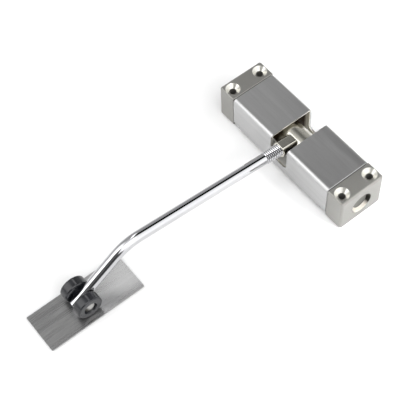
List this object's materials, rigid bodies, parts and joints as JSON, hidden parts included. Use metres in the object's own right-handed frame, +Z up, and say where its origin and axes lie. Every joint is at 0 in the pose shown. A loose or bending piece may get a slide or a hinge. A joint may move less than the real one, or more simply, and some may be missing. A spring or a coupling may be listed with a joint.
{
  "type": "roller-arm spring door closer",
  "caption": "Surface-mounted spring door closer: a short brushed body with a bent arm whose rollers press a rub plate on the door and swing it shut.",
  "frame": {"origin": "centre of the four screw holes, on the body's mounting face", "axes": "+X along the spindle towards the tension adjuster, +Y from the body away from the arm, +Z up from the mounting face"},
  "size_m": [0.115, 0.2141, 0.0357],
  "materials": {
    "plated_casting": "satin nickel plate",
    "brushed_sheet": "brushed",
    "chrome_plate": "polished",
    "roller_plastic": "satin",
    "zinc_steel": "bright",
    "spring_steel": "oiled",
    "bronze": "turned",
    "guide_plastic": "moulded",
    "adhesive_foam": "matt"
  },
  "bodies": {
    "housing": {"left_end_block": "plated_casting", "right_end_block": "plated_casting", "cover": "brushed_sheet", "cover_screws": "zinc_steel", "spindle": "zinc_steel", "spindle_pin": "zinc_steel", "left_spring": "spring_steel", "left_spring_seat": "zinc_steel", "left_seat_dowel": "zinc_steel", "left_spring_guide": "guide_plastic", "right_spring_guide": "guide_plastic", "adjuster_bush": "bronze"},
    "adjuster": {"tension_adjuster": "zinc_steel", "right_spring_seat": "zinc_steel", "right_seat_pin": "zinc_steel", "right_spring": "spring_steel"},
    "arm": {"arm_hub": "plated_casting", "left_hub_bush": "bronze", "right_hub_bush": "bronze", "arm_rod": "chrome_plate", "roller_pin": "zinc_steel", "near_roller_washer": "roller_plastic", "far_roller_washer": "roller_plastic"},
    "near_wheel": {"near_roller": "roller_plastic"},
    "far_wheel": {"far_roller": "roller_plastic"},
    "door_plate": {"rub_plate": "brushed_sheet", "plate_adhesive": "adhesive_foam"}
  },
  "joints": [
    {"name": "arm_swing", "type": "hinge", "parent": "housing", "child": "arm", "pos_m": [0, 0, 0.0135], "axis": [-1, 0, 0], "range_deg": [0, 120], "stiffness_Nm_per_rad": 1.5, "springref_deg": -20.05, "deforming": ["left_spring", "right_spring"]},
    {"name": "tension_adjust", "type": "hinge", "parent": "housing", "child": "adjuster", "pos_m": [0, 0, 0.0135], "axis": [1, 0, 0], "range_deg": [0, 180], "deforming": ["right_spring"]},
    {"name": "near_roller_spin", "type": "hinge", "parent": "arm", "child": "near_wheel", "pos_m": [0, -0.1666, 0.01], "axis": [1, 0, 0], "continuous": true},
    {"name": "far_roller_spin", "type": "hinge", "parent": "arm", "child": "far_wheel", "pos_m": [0, -0.1666, 0.01], "axis": [1, 0, 0], "continuous": true},
    {"name": "plate_travel", "type": "slide", "parent": "housing", "child": "door_plate", "axis": [0, 1, 0], "range_m": [-0.025, 0.025]}
  ]
}
